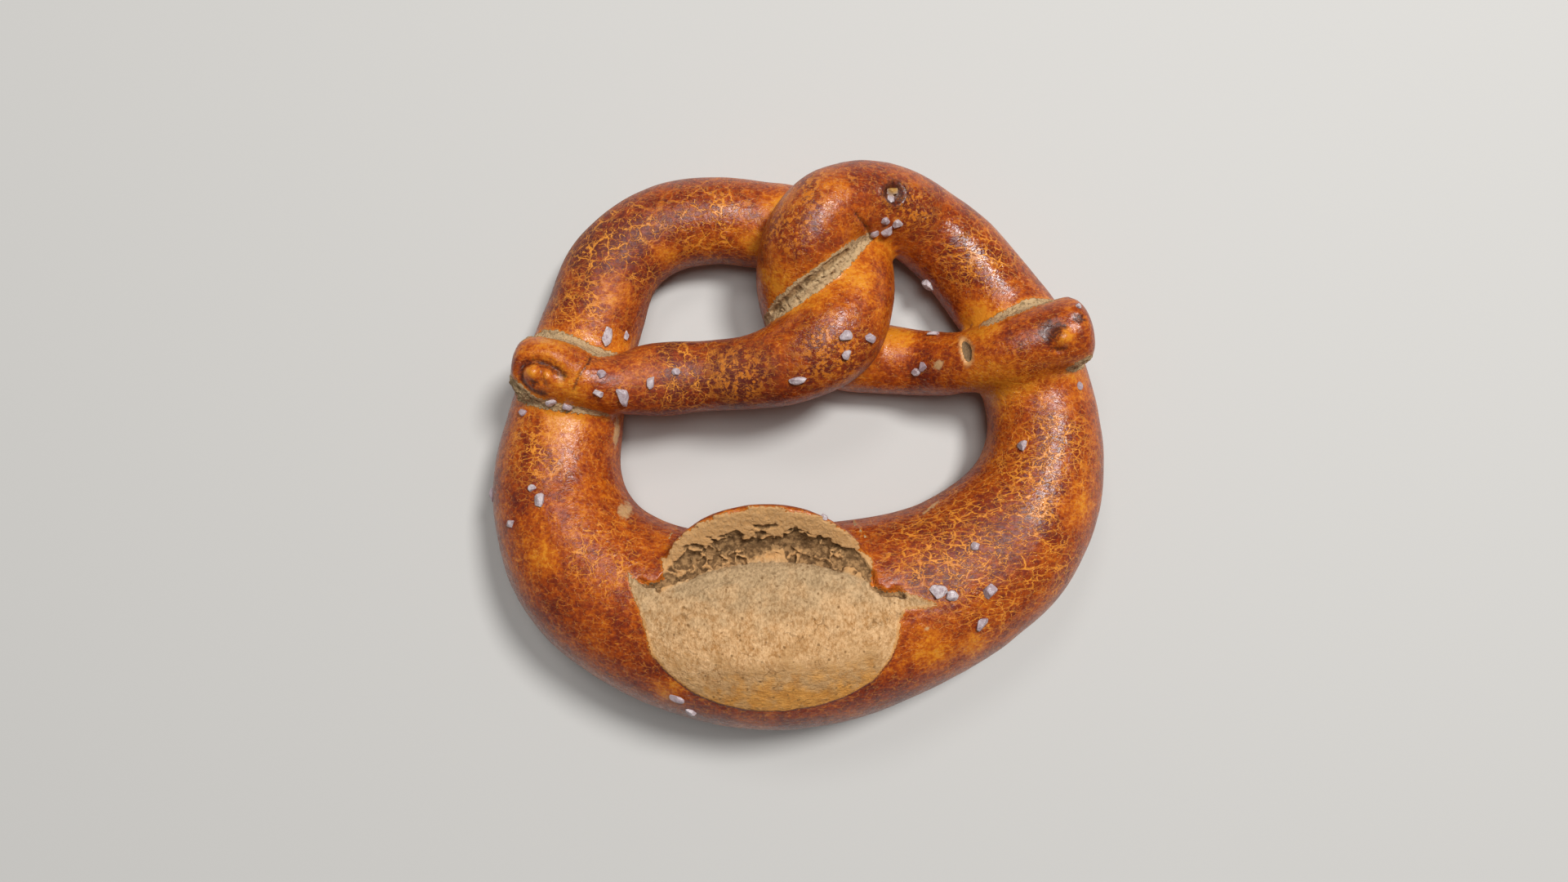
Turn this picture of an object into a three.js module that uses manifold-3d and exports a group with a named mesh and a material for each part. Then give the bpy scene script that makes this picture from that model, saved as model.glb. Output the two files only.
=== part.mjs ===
// A soft pretzel, baked from one rope of dough: a thick belly that has burst open on top, two arms
// that twist once round each other, and two ends pressed onto the sides, with coarse salt on the crust.
// Millimetres, +Z up. It lies on its flat baked underside at z = 0, with the belly towards -Y and the
// origin under the middle of the whole.
import * as THREE from 'three';
import { mergeVertices } from 'three/addons/utils/BufferGeometryUtils.js';
import Module from 'manifold-3d';

const CRUST = { color: 0x8e3f12, roughness: 0.38, metalness: 0 };

// The rope, from the end on the left side to the end on the right side. Each row is one station:
// x, y and z of the middle of the rope, then its half width and half height.
const LEFT_ARM = [
  [-69.6, 19.2, 24.0, 8.2, 7.6],
  [-57.5, 17.6, 24.5, 7.8, 8.3],
  [-46.5, 14.9, 23.0, 7.0, 8.0],
  [-35.5, 16.2, 20.0, 9.0, 9.0],
  [-23.5, 17.0, 18.5, 8.8, 9.0],
  [-11.5, 17.8, 21.0, 9.2, 9.5],
  [-1.0, 20.8, 23.5, 10.8, 10.5],
];
const LEFT_TWIST = [
  [8.0, 26.8, 23.5, 12.0, 11.5],
  [12.5, 36.0, 20.0, 11.2, 11.2],
  [13.0, 45.5, 14.5, 10.6, 10.5],
  [8.0, 52.5, 10.5, 10.0, 10.2],
  [-0.5, 55.7, 9.0, 10.3, 10.3],
];
const LEFT_LOOP = [
  [-10.0, 56.4, 8.5, 11.0, 10.5],
  [-20.0, 57.4, 8.8, 11.0, 11.0],
  [-31.3, 56.0, 9.0, 11.1, 11.3],
  [-41.0, 51.1, 9.3, 11.4, 11.6],
  [-47.7, 43.4, 9.6, 12.0, 12.0],
  [-51.8, 32.0, 10.0, 12.6, 12.2],
  [-56.3, 18.5, 10.4, 13.2, 12.4],
  [-59.0, 5.0, 11.5, 14.6, 14.0],
  [-60.5, -7.5, 12.5, 16.0, 15.5],
];
const BELLY = [
  [-58.2, -19.5, 14.0, 17.6, 17.5],
  [-51.5, -30.7, 15.5, 19.8, 19.0],
  [-40.9, -38.6, 16.5, 21.1, 20.5],
  [-26.0, -43.9, 17.5, 22.9, 22.0],
  [-7.5, -45.8, 18.0, 24.6, 22.5],
  [10.5, -43.4, 17.5, 24.4, 22.0],
  [27.5, -38.5, 16.5, 22.2, 20.5],
  [41.0, -32.3, 15.5, 20.6, 19.0],
  [51.2, -24.6, 14.5, 19.4, 18.0],
];
const RIGHT_LOOP = [
  [58.8, -14.0, 13.0, 17.1, 16.5],
  [62.0, -3.0, 12.0, 15.2, 15.0],
  [62.0, 7.4, 11.0, 13.9, 13.5],
  [59.2, 18.5, 10.2, 13.7, 12.4],
  [55.7, 29.0, 9.8, 12.3, 12.0],
  [48.8, 39.0, 9.4, 11.6, 11.6],
  [41.3, 48.2, 9.4, 11.2, 11.3],
  [32.8, 55.0, 11.0, 10.7, 11.0],
];
const RIGHT_TWIST = [
  [23.8, 59.5, 15.5, 10.1, 10.8],
  [14.5, 60.0, 21.0, 9.9, 10.5],
  [6.2, 55.9, 25.0, 10.2, 10.8],
  [1.8, 48.0, 24.5, 11.3, 11.2],
  [0.7, 38.5, 18.5, 11.0, 10.8],
  [3.0, 29.5, 12.0, 9.9, 10.0],
];
const RIGHT_ARM = [
  [11.0, 23.5, 8.5, 9.2, 9.5],
  [22.5, 21.9, 7.8, 8.9, 9.0],
  [32.0, 20.9, 10.0, 8.2, 8.6],
  [41.5, 20.4, 16.5, 7.8, 8.6],
  [51.5, 23.0, 22.0, 8.4, 8.8],
  [61.0, 26.0, 24.0, 8.6, 8.8],
  [71.4, 29.0, 24.0, 8.6, 8.2],
];
const STATIONS = [
  ...LEFT_ARM, ...LEFT_TWIST, ...LEFT_LOOP, ...BELLY, ...RIGHT_LOOP, ...RIGHT_TWIST, ...RIGHT_ARM,
];
const FIRST_CUT = LEFT_ARM.length + LEFT_TWIST.length + 2; // station where the left twist meets the left loop
const SECOND_CUT = STATIONS.length - RIGHT_ARM.length - RIGHT_TWIST.length - 2;
const RING_SIDES = 24;
const ARM_RINGS = 4; // rings from one station to the next
const BELLY_RINGS = 3;

const TIP_LENGTH = 4.5; // the rope rounds off over this length at each end
const TIP_SPAN = 0.5; // the share of the last span that holds the rounding
const TIP_RINGS = 7;

// The burst on the belly: a lip of crust lifted off the inner side, with a torn slope that falls
// from its edge to the valley where the risen crumb begins.
const LIP = { center: [-7.6, -31, 38], radii: [25, 17.2, 26] };
const LIP_EDGE_Z = 41;
const VALLEY = { x: -5, y: -27.6, z: 31.5, drop: 5.2, reach: 24 };
const TORN_STEP = 2.2; // grid of the torn slope

// Coarse salt on the crust, one grain a row: x, y, length, width and heading in degrees.
const SALT = [
  [-47.4, 26.8, 4.4, 2.4, 85],
  [-42.9, 27.2, 2.2, 1.2, 80],
  [-47.2, 16.9, 1.9, 1.9, 20],
  [-47.9, 12.5, 2.3, 2.1, 0],
  [-42.2, 11.9, 4.7, 2.3, -72],
  [-35.5, 15.1, 2.9, 1.8, 75],
  [-29.5, 17.5, 2.0, 1.6, 0],
  [-59.7, 10.4, 2.7, 1.6, 35],
  [-56.1, 9.4, 2.2, 2.0, -40],
  [-67.4, 8.0, 1.8, 1.8, 30],
  [-64.0, -10.4, 1.8, 1.6, 0],
  [-62.0, -13.3, 3.1, 2.2, 85],
  [-69.4, -18.9, 2.0, 1.8, 60],
  [-76.3, -12.6, 3.3, 1.6, 85],
  [-28.7, -59.8, 3.5, 1.9, -20],
  [-25.8, -63.6, 2.5, 1.8, -15],
  [5.9, -16.9, 1.6, 1.6, 0],
  [0.0, 15.4, 3.9, 1.9, -3],
  [11.0, 25.7, 2.9, 2.3, 15],
  [11.2, 21.5, 2.3, 2.1, 0],
  [16.9, 25.7, 2.5, 2.3, -45],
  [18.6, 51.6, 2.4, 1.6, 85],
  [21.0, 54.3, 2.0, 1.8, 0],
  [23.9, 53.9, 2.4, 1.8, 10],
  [21.6, 52.4, 2.8, 2.2, 70],
  [22.4, 59.4, 2.2, 1.8, 80],
  [22.6, 61.3, 2.8, 1.8, 5],
  [33.2, 41.0, 3.2, 2.4, -60],
  [34.0, 27.6, 2.7, 1.6, -30],
  [30.9, 19.6, 2.4, 2.0, 60],
  [29.4, 18.1, 2.2, 1.8, 30],
  [54.7, -0.4, 2.4, 2.2, 40],
  [69.3, 14.5, 2.0, 1.4, 80],
  [41.7, -24.0, 2.1, 1.9, 0],
  [32.6, -34.3, 3.3, 3.1, 30],
  [35.9, -35.3, 2.7, 2.3, 0],
  [45.0, -34.7, 3.3, 2.9, 60],
  [43.2, -42.0, 3.3, 2.3, 70],
  [66.6, 33.1, 1.4, 1.4, 0],
];
const SALT_HEIGHT = 0.8; // height of a grain over its width
const SALT_SINK = 0.3; // share of that height below the crust

const spine = new THREE.CatmullRomCurve3(
  STATIONS.map(([x, y, z]) => new THREE.Vector3(x, y, z)), false, 'catmullrom', 0.5);
const girth = new THREE.CatmullRomCurve3(
  STATIONS.map(([, , , width, height]) => new THREE.Vector3(width, height, 0)), false, 'catmullrom', 0.5);

const wasm = await Module();
wasm.setup();

// A closed three.js geometry as a manifold-3d solid.
function solid(geometry) {
  const bare = geometry.clone();
  bare.deleteAttribute('normal');
  bare.deleteAttribute('uv');
  const merged = mergeVertices(bare, 1e-4);
  return new wasm.Manifold(new wasm.Mesh({
    numProp: 3,
    vertProperties: merged.attributes.position.array,
    triVerts: new Uint32Array(merged.index.array),
  }));
}

function geometryOf(manifold) {
  const mesh = manifold.getMesh();
  const geometry = new THREE.BufferGeometry();
  geometry.setAttribute('position', new THREE.BufferAttribute(mesh.vertProperties, 3));
  geometry.setIndex(new THREE.BufferAttribute(mesh.triVerts, 1));
  return geometry;
}

// How much the rope is drawn in near its two ends, from 0 at the very end to 1.
function roundedEnd(t) {
  const ends = [spine.getPoint(0), spine.getPoint(1)];
  const here = spine.getPoint(t);
  const gap = Math.min(...ends.map((end) => end.distanceTo(here)));
  const along = THREE.MathUtils.clamp(gap / TIP_LENGTH, 0, 1);
  return Math.sqrt(1 - (1 - along) ** 2) * 0.9 + 0.1;
}

// A length of the rope between two stations: a cylinder whose rings are carried onto the spine.
function strand(from, to, rings) {
  const spans = to - from;
  const geometry = new THREE.CylinderGeometry(1, 1, 1, RING_SIDES, rings);
  const place = geometry.attributes.position;
  const up = new THREE.Vector3(0, 0, 1);
  for (let i = 0; i < place.count; i += 1) {
    const t = (from + (0.5 - place.getY(i)) * spans) / (STATIONS.length - 1);
    const center = spine.getPoint(t);
    const tangent = spine.getTangent(t);
    const side = new THREE.Vector3().crossVectors(up, tangent).normalize();
    const rise = new THREE.Vector3().crossVectors(tangent, side);
    const size = girth.getPoint(t).multiplyScalar(roundedEnd(t));
    center.addScaledVector(side, place.getX(i) * size.x);
    center.addScaledVector(rise, place.getZ(i) * size.y);
    place.setXYZ(i, center.x, center.y, center.z);
  }
  return solid(geometry);
}

// Height of the torn slope at a point of the plan, rising from the valley to the edge of the lip,
// which is highest in the middle and comes down into the crust at both ends.
function tornHeight(x, y) {
  const valley = VALLEY.y - VALLEY.drop * ((x - VALLEY.x) / VALLEY.reach) ** 2;
  const spread = Math.sqrt(Math.max(0, 1 - ((x - LIP.center[0]) / LIP.radii[0]) ** 2));
  const edge = LIP.center[1] + LIP.radii[1] * spread;
  const climb = THREE.MathUtils.clamp((y - valley) / Math.max(edge - valley, 1), -0.3, 1.5);
  return VALLEY.z + (LIP_EDGE_Z - VALLEY.z) * spread * climb;
}

// The lifted lip of crust: a rounded mass with everything above the torn slope cut away.
function lip() {
  const mass = new THREE.SphereGeometry(1, 32, 20);
  mass.rotateX(Math.PI / 2);
  mass.scale(...LIP.radii).translate(...LIP.center);
  const width = LIP.radii[0] * 2 + 4;
  const depth = LIP.radii[1] * 2 + 4;
  const height = LIP.radii[2] * 2;
  const above = new THREE.BoxGeometry(
    width, depth, height, Math.round(width / TORN_STEP), Math.round(depth / TORN_STEP), 1);
  const place = above.attributes.position;
  for (let i = 0; i < place.count; i += 1) {
    const x = place.getX(i) + LIP.center[0];
    const y = place.getY(i) + LIP.center[1];
    const z = place.getZ(i) < 0 ? tornHeight(x, y) : LIP.center[2] + height;
    place.setXYZ(i, x, y, z);
  }
  return solid(mass).subtract(solid(above));
}

// The bare loaf: the belly with both arms and the lip in one solid, cut flat where it rests.
function loaf() {
  const last = STATIONS.length - 1;
  const leftEnd = TIP_SPAN;
  const rightEnd = last - TIP_SPAN;
  const belly = strand(FIRST_CUT, SECOND_CUT, (SECOND_CUT - FIRST_CUT) * BELLY_RINGS);
  const leftArm = strand(leftEnd, FIRST_CUT, (FIRST_CUT - leftEnd) * ARM_RINGS)
    .add(strand(0, leftEnd, TIP_RINGS));
  const rightArm = strand(SECOND_CUT, rightEnd, (rightEnd - SECOND_CUT) * ARM_RINGS)
    .add(strand(rightEnd, last, TIP_RINGS));
  const floor = new THREE.BoxGeometry(400, 400, 100).translate(0, 0, -50);
  return belly.add(leftArm).add(rightArm).add(lip()).subtract(solid(floor));
}

// A grain of salt, lying on the crust below x, y with its height along the crust's normal.
function grain([x, y, length, width, heading], crust) {
  const drop = new THREE.Raycaster(new THREE.Vector3(x, y, 100), new THREE.Vector3(0, 0, -1));
  const { point, face } = drop.intersectObject(crust)[0];
  const height = width * SALT_HEIGHT;
  const lean = new THREE.Quaternion().setFromUnitVectors(new THREE.Vector3(0, 0, 1), face.normal);
  const center = point.addScaledVector(face.normal, height * (0.5 - SALT_SINK));
  const lump = new THREE.IcosahedronGeometry(0.5, 0);
  lump.scale(length, width, height);
  lump.rotateZ(THREE.MathUtils.degToRad(heading));
  lump.applyQuaternion(lean);
  lump.translate(center.x, center.y, center.z);
  return solid(lump);
}

function saltedLoaf() {
  const bare = loaf();
  const crust = new THREE.Mesh(geometryOf(bare));
  return SALT.reduce((whole, row) => whole.add(grain(row, crust)), bare);
}

const pretzel = new THREE.Mesh(geometryOf(saltedLoaf()), new THREE.MeshStandardMaterial(CRUST));
pretzel.name = 'pretzel';

const part = new THREE.Group();
part.add(pretzel);

export default part;
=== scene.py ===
"""A soft pretzel: glossy lye crust on a knotted rope of dough, a belly burst to pale crumb, coarse salt."""

import bmesh
import bpy
import numpy as np
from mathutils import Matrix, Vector, noise
from mathutils.bvhtree import BVHTree
from mathutils.kdtree import KDTree


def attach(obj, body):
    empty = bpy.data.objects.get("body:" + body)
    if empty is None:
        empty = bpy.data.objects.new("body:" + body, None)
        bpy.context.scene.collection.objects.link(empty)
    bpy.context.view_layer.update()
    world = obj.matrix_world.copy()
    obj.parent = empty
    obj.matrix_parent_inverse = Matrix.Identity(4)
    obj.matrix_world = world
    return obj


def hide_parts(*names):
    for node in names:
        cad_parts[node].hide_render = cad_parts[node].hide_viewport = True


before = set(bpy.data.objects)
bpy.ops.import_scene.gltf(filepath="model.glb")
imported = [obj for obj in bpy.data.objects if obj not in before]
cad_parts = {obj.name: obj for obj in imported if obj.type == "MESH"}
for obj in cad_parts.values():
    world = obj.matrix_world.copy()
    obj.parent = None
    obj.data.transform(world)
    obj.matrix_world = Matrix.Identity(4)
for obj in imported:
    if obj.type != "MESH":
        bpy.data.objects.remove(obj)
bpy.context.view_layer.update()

MM = 0.001
UP = np.array([0.0, 0.0, 1.0])
SEED = 11

# ---------------------------------------------------------------- sizes, in mm

# The rope from its left end to its right end: x, y and z of its middle, half width, half height.
LEFT_ARM = [
    (-69.6, 19.2, 24.0, 8.2, 7.6), (-57.5, 17.6, 24.5, 7.8, 8.3), (-46.5, 14.9, 23.0, 7.0, 8.0),
    (-35.5, 16.2, 20.0, 9.0, 9.0), (-23.5, 17.0, 18.5, 8.8, 9.0), (-11.5, 17.8, 21.0, 9.2, 9.5),
    (-1.0, 20.8, 23.5, 10.8, 10.5),
]
LEFT_TWIST = [
    (8.0, 26.8, 23.5, 12.0, 11.5), (12.5, 36.0, 20.0, 11.2, 11.2), (13.0, 45.5, 14.5, 10.6, 10.5),
    (8.0, 52.5, 10.5, 10.0, 10.2), (-0.5, 55.7, 9.0, 10.3, 10.3),
]
LEFT_LOOP = [
    (-10.0, 56.4, 8.5, 11.0, 10.5), (-20.0, 57.4, 8.8, 11.0, 11.0), (-31.3, 56.0, 9.0, 11.1, 11.3),
    (-41.0, 51.1, 9.3, 11.4, 11.6), (-47.7, 43.4, 9.6, 12.0, 12.0), (-51.8, 32.0, 10.0, 12.6, 12.2),
    (-56.3, 18.5, 10.4, 13.2, 12.4), (-59.0, 5.0, 11.5, 14.6, 14.0), (-60.5, -7.5, 12.5, 16.0, 15.5),
]
BELLY = [
    (-58.2, -19.5, 14.0, 17.6, 17.5), (-51.5, -30.7, 15.5, 19.8, 19.0), (-40.9, -38.6, 16.5, 21.1, 20.5),
    (-26.0, -43.9, 17.5, 22.9, 22.0), (-7.5, -45.8, 18.0, 24.6, 22.5), (10.5, -43.4, 17.5, 24.4, 22.0),
    (27.5, -38.5, 16.5, 22.2, 20.5), (41.0, -32.3, 15.5, 20.6, 19.0), (51.2, -24.6, 14.5, 19.4, 18.0),
]
RIGHT_LOOP = [
    (58.8, -14.0, 13.0, 17.1, 16.5), (62.0, -3.0, 12.0, 15.2, 15.0), (62.0, 7.4, 11.0, 13.9, 13.5),
    (59.2, 18.5, 10.2, 13.7, 12.4), (55.7, 29.0, 9.8, 12.3, 12.0), (48.8, 39.0, 9.4, 11.6, 11.6),
    (41.3, 48.2, 9.4, 11.2, 11.3), (32.8, 55.0, 11.0, 10.7, 11.0),
]
RIGHT_TWIST = [
    (23.8, 59.5, 15.5, 10.1, 10.8), (14.5, 60.0, 21.0, 9.9, 10.5), (6.2, 55.9, 25.0, 10.2, 10.8),
    (1.8, 48.0, 24.5, 11.3, 11.2), (0.7, 38.5, 18.5, 11.0, 10.8), (3.0, 29.5, 12.0, 9.9, 10.0),
]
RIGHT_ARM = [
    (11.0, 23.5, 8.5, 9.2, 9.5), (22.5, 21.9, 7.8, 8.9, 9.0), (32.0, 20.9, 10.0, 8.2, 8.6),
    (41.5, 20.4, 16.5, 7.8, 8.6), (51.5, 23.0, 22.0, 8.4, 8.8), (61.0, 26.0, 24.0, 8.6, 8.8),
    (71.4, 29.0, 24.0, 8.6, 8.2),
]
STATIONS = np.array(LEFT_ARM + LEFT_TWIST + LEFT_LOOP + BELLY + RIGHT_LOOP + RIGHT_TWIST + RIGHT_ARM)
LAST = len(STATIONS) - 1
FIRST_CUT = len(LEFT_ARM) + len(LEFT_TWIST) + 2
SECOND_CUT = LAST + 1 - len(RIGHT_ARM) - len(RIGHT_TWIST) - 2
LENGTHS = [(0, FIRST_CUT), (FIRST_CUT, SECOND_CUT), (SECOND_CUT, LAST)]  # left arm, belly, right arm
TIP_LENGTH = 4.5
RING_SIDES = 96
RINGS_PER_SPAN = 20

LIP_CENTER = np.array([-7.6, -31.0, 38.0])
LIP_RADII = np.array([25.0, 17.2, 26.0])
LIP_EDGE_Z = 41.0
VALLEY_X, VALLEY_Y, VALLEY_Z = -5.0, -27.6, 31.5
VALLEY_DROP, VALLEY_REACH = 5.2, 24.0

VOXEL = 1.09
SMOOTHING = 3
MELTING = 40

# Outline of the burst seen from above: round the lip from left to right, then back along the dome.
BURST = np.array([
    (-40.9, -28.7), (-39.0, -31.3), (-36.1, -32.2), (-33.2, -32.0), (-31.9, -30.7), (-32.4, -27.0),
    (-31.0, -22.0), (-27.5, -17.0), (-21.0, -12.5), (-7.6, -10.5), (6.0, -12.5), (12.5, -17.0),
    (16.3, -22.5), (17.3, -28.0), (17.0, -32.2), (20.4, -34.1), (23.2, -33.8), (29.4, -35.9),
    (33.3, -37.5), (30.0, -38.0), (25.1, -38.3), (23.7, -40.9), (23.2, -45.7), (21.7, -49.7),
    (17.6, -55.1), (10.9, -59.1), (4.2, -61.5), (-3.5, -62.7), (-12.2, -62.2), (-18.9, -60.6),
    (-24.6, -58.2), (-30.3, -53.5), (-34.6, -48.6), (-35.9, -42.8), (-37.4, -38.1), (-39.3, -33.8),
])

# Where two lengths of rope have pulled apart and show crumb: how far the crumb stands above the lower
# crust beside it, then x, y and half width along the tear.
TEARS = {
    "knot": (-0.3, [
        (17.1, 50.4, 1.0), (13.9, 47.8, 1.7), (10.5, 44.3, 2.2), (5.6, 40.2, 2.4), (0.0, 36.5, 2.4),
        (-4.5, 33.4, 2.1), (-7.5, 31.0, 1.3),
    ]),
    "left_end_upper": (0.9, [
        (-66.8, 25.6, 0.9), (-63.1, 27.3, 1.4), (-59.6, 27.0, 1.4), (-56.4, 26.1, 1.2), (-53.1, 24.8, 1.1),
        (-50.8, 23.6, 1.1), (-48.0, 22.3, 1.2), (-45.0, 22.4, 0.5),
    ]),
    "left_end_lower": (0.9, [
        (-70.2, 16.0, 1.1), (-69.6, 14.8, 1.8), (-68.1, 12.8, 2.1), (-65.8, 11.2, 1.6), (-62.8, 10.1, 1.2),
        (-59.6, 9.4, 1.0), (-56.4, 8.9, 0.9), (-53.1, 8.4, 0.8), (-49.7, 7.9, 0.7), (-47.0, 7.6, 0.4),
    ]),
    "right_end_upper": (0.9, [
        (44.4, 28.6, 0.4), (46.4, 29.7, 0.8), (49.5, 31.3, 0.9), (53.2, 33.1, 1.2), (56.5, 34.6, 1.3),
        (58.8, 35.1, 1.2), (63.7, 35.6, 0.7),
    ]),
    "right_end_lower": (1.2, [(65.5, 18.6, 0.6), (67.8, 19.2, 1.3), (70.6, 20.6, 1.5)]),
}
CRUMB_TOAST = np.array([(30.0, 0.0), (44.6, 0.5), (53.0, 0.78), (59.0, 1.0)])  # how toasted the crumb is at -y
TEAR_DEPTH = 5.0  # half height of the strip of crumb that fills a tear
TEAR_FOOT = 3.0  # how far below the top of that strip its crumb shows
TEAR_FLATTEN = np.array([1.0, 1.0, 0.1])  # a tear's width is as seen from above, so heights count for less

MELTED = [(44.5, 14.0, 5.0), (51.0, 14.5, 6.0), (58.0, 16.5, 6.0)]  # where arm and loop run together: x, y, radius

# Grooves pressed into the crust: how dark each is painted (darker bake, and painted shade in the groove), then x,
# y, half width and depth along it.
GROOVES = {
    "left_curl": (0.75, [
        (-61.0, 12.2, 0.9, 0.2), (-64.2, 12.8, 1.0, 0.5), (-66.4, 15.0, 1.1, 0.9), (-66.8, 17.6, 1.1, 1.2),
        (-65.6, 19.5, 1.0, 1.5), (-62.6, 20.1, 1.0, 1.6), (-59.4, 19.2, 1.2, 1.5), (-57.2, 17.9, 1.4, 1.3),
        (-56.0, 16.4, 1.4, 0.8),
    ]),
    "left_pit": (0.6, [(-63.6, 15.0, 0.7, 0.6), (-62.4, 14.6, 0.6, 0.6)]),
    "left_parting": (0.4, [(-61.2, 18.2, 0.5, 0.6), (-61.0, 16.4, 0.5, 0.7), (-60.6, 14.6, 0.6, 0.5)]),
    "right_curl": (0.85, [
        (59.4, 24.4, 0.9, 0.2), (58.9, 26.2, 1.6, 0.35), (59.8, 27.8, 1.8, 0.5), (61.4, 28.4, 1.4, 0.4),
        (63.0, 28.2, 0.8, 0.1),
    ]),
    "right_fold": (0.7, [(60.2, 22.9, 0.6, 0.4), (61.8, 22.4, 0.8, 0.7), (63.4, 22.8, 0.6, 0.4)]),
    "right_streak": (0.7, [(65.6, 30.2, 0.7, 0.15), (68.0, 29.8, 0.7, 0.15)]),
    "left_crack": (0.8, [
        (-49.6, 21.9, 0.4, 0.3), (-50.2, 19.5, 0.4, 0.5), (-52.0, 16.8, 0.45, 0.5), (-52.9, 14.8, 0.4, 0.4),
        (-53.7, 12.9, 0.35, 0.3),
    ]),
    "knot_fold": (0.8, [(13.7, 54.8, 0.4, 0.4), (16.1, 52.6, 0.5, 0.7), (17.6, 50.9, 0.5, 0.7)]),
}
# Raised places: x, y, length, width, heading in degrees, height.
LUMPS = [
    (-60.2, 23.2, 9.5, 4.6, -8, 1.0), (-63.0, 17.3, 3.4, 4.2, 0, 1.4), (-59.7, 16.4, 2.0, 3.6, 0, 0.9),
    (-52.0, 19.0, 5.0, 4.4, -20, 0.5), (-68.0, 13.0, 8.0, 4.0, -45, -1.1), (62.8, 25.5, 3.6, 3.4, 0, 1.2), (66.0, 32.2, 5.0, 2.6, 0, 0.4),
    (-7.0, 47.5, 6.0, 4.5, 60, 0.25), (8.0, 33.0, 8.0, 6.0, -60, 0.3), (50.0, 21.5, 8.0, 4.0, 20, 0.3),
]
CRATER = (23.0, 60.6, 3.0, 1.2)  # x, y, radius and depth of the burnt hollow
SCORCHED = [(23.2, 60.6, 3.4), (59.6, 27.4, 3.0), (66.6, 30.2, 1.3), (-63.2, 14.7, 0.9)]  # x, y, radius
BLISTERS = [  # x, y, radius
    (29.2, 63.4, 0.9), (32.3, 56.0, 0.8), (-62.0, 5.6, 1.1), (-67.2, 2.4, 0.7), (30.4, -43.0, 1.0),
    (60.8, -31.0, 1.3), (-57.6, -31.1, 0.8), (-33.5, 17.2, 0.9), (66.0, 32.9, 0.6), (-58.5, -4.0, 0.8),
    (-20.5, 24.8, 0.6), (40.0, 52.2, 0.6), (51.0, 30.2, 0.7), (57.0, 14.4, 0.5), (-53.0, -24.0, 0.6),
]
# Places where the skin is pale: x, y, length, width and heading in degrees.
SCARS = [
    (-42.3, -16.1, 4.6, 3.6, 100), (-45.5, 3.2, 8.0, 1.3, 88), (34.3, 19.6, 3.2, 2.6, 80),
    (45.7, 11.9, 3.4, 0.8, 110), (42.6, -5.2, 7.0, 0.6, 55), (32.5, -15.2, 7.0, 0.6, 35),
    (30.2, -42.7, 1.6, 1.0, 70),
]
WINDOW = (40.7, 22.9, 6.6, 2.4, 98)  # a torn window on the right arm: x, y, length, width and heading
# Gaps below the crust at the two corners of the burst, sunk and painted dark as shade: x, y and half width along
# each.
GAPS = [
    [(-37.6, -31.6, 0.4), (-35.8, -32.6, 0.6), (-33.2, -32.6, 0.6), (-31.4, -30.8, 0.8)],
    [(16.9, -30.0, 0.9), (17.6, -32.9, 0.7), (20.6, -34.7, 0.6), (22.8, -34.2, 1.0), (24.6, -35.4, 0.5)],
]
SLIT = [(-6.5, 32.6, 0.5), (0.3, 37.4, 0.9), (6.0, 41.6, 0.9), (12.0, 46.4, 0.6)]  # middle of the knot's tear, sunk and painted dark as shade
AMBER = [  # where the glaze is thin: x, y, radius
    (-60.1, -27.1, 3.8), (30.6, -49.1, 4.5), (41.3, -47.1, 3.0), (-30.5, -58.5, 4.0), (66.5, -15.5, 4.5),
    (-4.0, 59.5, 4.5), (8.0, 60.0, 4.0), (-11.0, 51.0, 3.0), (-55.0, 14.0, 4.0), (-33.0, 47.5, 3.0), (-60.2, 23.6, 4.2), (-63.0, 17.5, 1.8),
    (-59.7, 16.6, 1.2), (63.0, 25.5, 2.2), (-38.0, 18.0, 5.0), (26.0, 27.0, 4.0), (44.0, 30.0, 5.0),
    (-6.0, 40.0, 4.0), (14.0, 40.0, 4.0), (-57.0, 4.0, 5.0), (48.0, 17.0, 6.0), (-45.0, 38.0, 4.0),
]
# Mostly darker bake; the patches along the belly's lower outer edge and on the left loop's outer side are partly
# painted shade.
DARK = [  # where it is darkest: x, y, radius
    (-47.0, 51.0, 10.0), (-30.0, 61.0, 8.0), (-14.0, 59.0, 7.0), (-60.0, 33.0, 6.0), (-68.0, -10.0, 6.0),
    (-57.0, -38.0, 8.0), (-38.0, -52.0, 9.0), (0.0, -66.5, 9.0), (20.0, -60.0, 8.0), (-24.0, -63.0, 8.0),
    (36.0, 53.0, 9.0), (48.0, 44.0, 8.0), (18.0, 63.0, 7.0), (64.0, 0.0, 7.0),
    (60.0, -16.0, 7.0), (-20.0, 16.0, 9.0), (2.0, 22.0, 7.0), (28.0, 19.0, 6.0),
    (4.0, 49.0, 5.0), (53.0, 28.0, 4.0), (-20.0, 13.0, 8.0), (-6.0, 16.0, 7.0), (-34.0, 20.0, 6.0),
    (56.0, 24.0, 8.0),
]
DULL = [  # where it is less glossy: x, y, radius
    (-46.0, 46.0, 14.0), (-34.0, 16.0, 10.0), (-14.0, 18.0, 8.0), (46.0, -23.0, 10.0), (32.0, -30.0, 9.0),
]
SHINY = [(45.0, 45.0, 10.0), (33.0, 56.0, 7.0), (2.0, 36.0, 9.0)]  # where it is glossiest: x, y, radius
CRAZED = [  # where the glaze has crackled finely: x, y, radius
    (56.0, -12.0, 13.0), (63.0, 2.0, 8.0), (42.0, -22.0, 13.0), (28.0, -25.0, 8.0), (58.0, -28.0, 10.0),
    (-65.0, -2.0, 7.0), (-52.0, 36.0, 7.0), (40.0, 45.0, 6.0), (45.0, -38.0, 8.0),
]
CRACKED = [  # where it has cracked into larger plates: x, y, radius
    (-46.0, 49.0, 15.0), (-22.0, 56.0, 10.0), (-54.0, 30.0, 9.0), (-62.0, 0.0, 9.0), (46.0, 46.0, 9.0),
    (-28.0, 17.0, 10.0), (52.0, 14.0, 8.0), (-46.0, -26.0, 9.0), (36.0, -28.0, 10.0), (60.0, -5.0, 12.0),
]
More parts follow.
